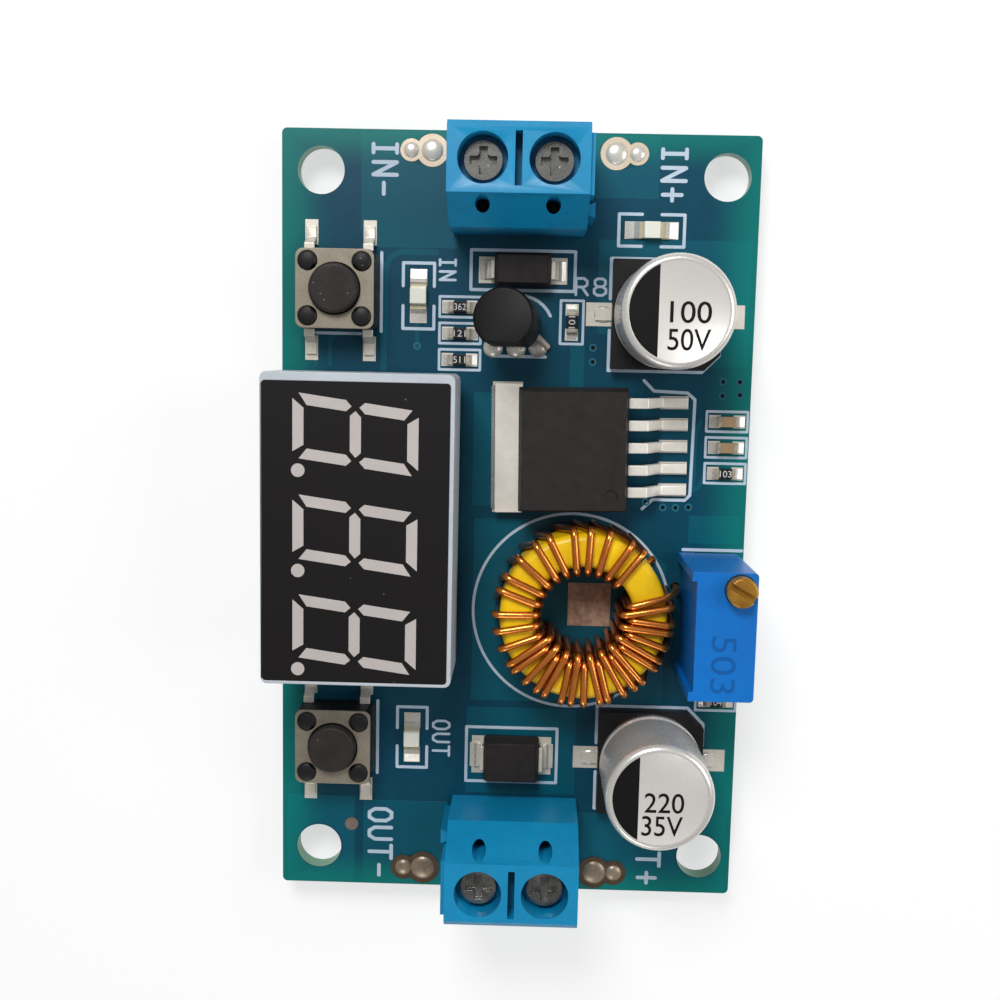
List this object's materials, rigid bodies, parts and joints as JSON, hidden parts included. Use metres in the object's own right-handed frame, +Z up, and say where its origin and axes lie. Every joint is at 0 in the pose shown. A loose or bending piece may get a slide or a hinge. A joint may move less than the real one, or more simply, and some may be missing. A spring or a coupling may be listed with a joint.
{
  "type": "buck converter module",
  "caption": "Flat step-down converter board with a numeric display, screw terminals at both ends, push buttons, a wound ring inductor and a trimmer",
  "frame": {"origin": "centre of the mounting-hole pattern at the board's underside", "axes": "+X to the trimmer's side, +Y along the board to the input terminal, +Z up out of the board's component side"},
  "size_m": [0.0365, 0.06, 0.0142],
  "materials": {
    "solder_mask": "glossy teal solder mask over glass-fibre laminate",
    "tinned_pad": "tinned copper",
    "solder": "bright solder",
    "terminal_plastic": "satin moulded plastic",
    "tinned_metal": "tinned metal",
    "nickel_plate": "nickel-plated steel",
    "switch_plastic": "moulded plastic",
    "switch_cover_metal": "pressed steel sheet",
    "display_case": "moulded plastic",
    "display_front": "black printed front",
    "display_segment": "milky resin",
    "potting": "cast resin",
    "chip_epoxy": "moulded epoxy",
    "core_coating": "painted pressed iron powder",
    "enamelled_copper": "enamelled copper wire",
    "can_aluminium": "drawn aluminium",
    "trimmer_plastic": "moulded plastic",
    "screw_brass": "turned brass",
    "indicator_base": "white laminate",
    "indicator_lens": "clear resin",
    "gold_plate": "plated terminal",
    "resistor_ceramic": "glazed black film",
    "capacitor_ceramic": "fired ceramic"
  },
  "bodies": {
    "board": {"circuit_board": "solder_mask", "wire_pads": "tinned_pad", "solder_pads": "tinned_pad", "solder_fillets": "solder", "solder_joints": "solder", "in_housing": "terminal_plastic", "in_contacts": "tinned_metal", "out_housing": "terminal_plastic", "out_contacts": "tinned_metal", "switch_1_base": "switch_plastic", "switch_1_cover": "switch_cover_metal", "switch_1_dome": "nickel_plate", "switch_1_legs": "tinned_metal", "switch_2_base": "switch_plastic", "switch_2_cover": "switch_cover_metal", "switch_2_dome": "nickel_plate", "switch_2_legs": "tinned_metal", "display_shell": "display_case", "display_face": "display_front", "display_segments": "display_segment", "display_filling": "potting", "display_pins": "tinned_metal", "meter_chips": "chip_epoxy", "meter_chip_leads": "tinned_metal", "power_chip_body": "chip_epoxy", "power_chip_tab": "tinned_metal", "power_chip_leads": "tinned_metal", "regulator_body": "chip_epoxy", "regulator_leads": "tinned_metal", "input_diode": "chip_epoxy", "output_diode": "chip_epoxy", "diode_leads": "tinned_metal", "inductor_core": "core_coating", "inductor_winding": "enamelled_copper", "input_capacitor_base": "switch_plastic", "input_capacitor_can": "can_aluminium", "output_capacitor_base": "switch_plastic", "output_capacitor_can": "can_aluminium", "capacitor_leads": "tinned_metal", "trimmer_housing": "trimmer_plastic", "trimmer_pins": "tinned_metal", "indicator_bases": "indicator_base", "indicator_lenses": "indicator_lens", "indicator_terminals": "gold_plate", "chip_resistors": "resistor_ceramic", "chip_capacitors": "capacitor_ceramic", "chip_end_caps": "tinned_metal"},
    "button_1": {"switch_1_button": "switch_plastic"},
    "button_2": {"switch_2_button": "switch_plastic"},
    "in_screw_left": {"in_screw_left": "nickel_plate"},
    "in_screw_right": {"in_screw_right": "nickel_plate"},
    "out_screw_left": {"out_screw_left": "nickel_plate"},
    "out_screw_right": {"out_screw_right": "nickel_plate"},
    "in_cage_left": {"in_cage_left": "nickel_plate"},
    "in_cage_right": {"in_cage_right": "nickel_plate"},
    "out_cage_left": {"out_cage_left": "nickel_plate"},
    "out_cage_right": {"out_cage_right": "nickel_plate"},
    "trimmer_screw": {"trimmer_screw": "screw_brass"}
  },
  "joints": [
    {"name": "press_button_1", "type": "slide", "parent": "board", "child": "button_1", "axis": [0, 0, -1], "range_m": [0, 0.00025], "stiffness_N_per_m": 1500, "springref_m": -0.0004, "deforming": ["switch_1_dome"]},
    {"name": "press_button_2", "type": "slide", "parent": "board", "child": "button_2", "axis": [0, 0, -1], "range_m": [0, 0.00025], "stiffness_N_per_m": 1500, "springref_m": -0.0004, "deforming": ["switch_2_dome"]},
    {"name": "turn_in_left_screw", "type": "hinge", "parent": "board", "child": "in_screw_left", "pos_m": [-0.0028, 0.02665, 0.008], "axis": [0, 0, 1], "range_deg": [-1584, 0]},
    {"name": "lift_in_left_cage", "type": "slide", "parent": "board", "child": "in_cage_left", "axis": [0, 0, 1], "range_m": [0, 0.00198]},
    {"name": "turn_in_right_screw", "type": "hinge", "parent": "board", "child": "in_screw_right", "pos_m": [0.0022, 0.02665, 0.008], "axis": [0, 0, 1], "range_deg": [-1584, 0]},
    {"name": "lift_in_right_cage", "type": "slide", "parent": "board", "child": "in_cage_right", "axis": [0, 0, 1], "range_m": [0, 0.00198]},
    {"name": "turn_out_left_screw", "type": "hinge", "parent": "board", "child": "out_screw_left", "pos_m": [-0.00215, -0.02665, 0.008], "axis": [0, 0, 1], "range_deg": [-1584, 0]},
    {"name": "lift_out_left_cage", "type": "slide", "parent": "board", "child": "out_cage_left", "axis": [0, 0, 1], "range_m": [0, 0.00198]},
    {"name": "turn_out_right_screw", "type": "hinge", "parent": "board", "child": "out_screw_right", "pos_m": [0.00285, -0.02665, 0.008], "axis": [0, 0, 1], "range_deg": [-1584, 0]},
    {"name": "lift_out_right_cage", "type": "slide", "parent": "board", "child": "out_cage_right", "axis": [0, 0, 1], "range_m": [0, 0.00198]},
    {"name": "turn_trimmer_screw", "type": "hinge", "parent": "board", "child": "trimmer_screw", "pos_m": [0.0163, -0.00317, 0.012], "axis": [0, 0, 1], "continuous": true}
  ],
  "couplings": [
    {"joint": "turn_in_left_screw", "follows": "lift_in_left_cage", "rad_per_m": -13960},
    {"joint": "turn_in_right_screw", "follows": "lift_in_right_cage", "rad_per_m": -13960},
    {"joint": "turn_out_left_screw", "follows": "lift_out_left_cage", "rad_per_m": -13960},
    {"joint": "turn_out_right_screw", "follows": "lift_out_right_cage", "rad_per_m": -13960}
  ]
}
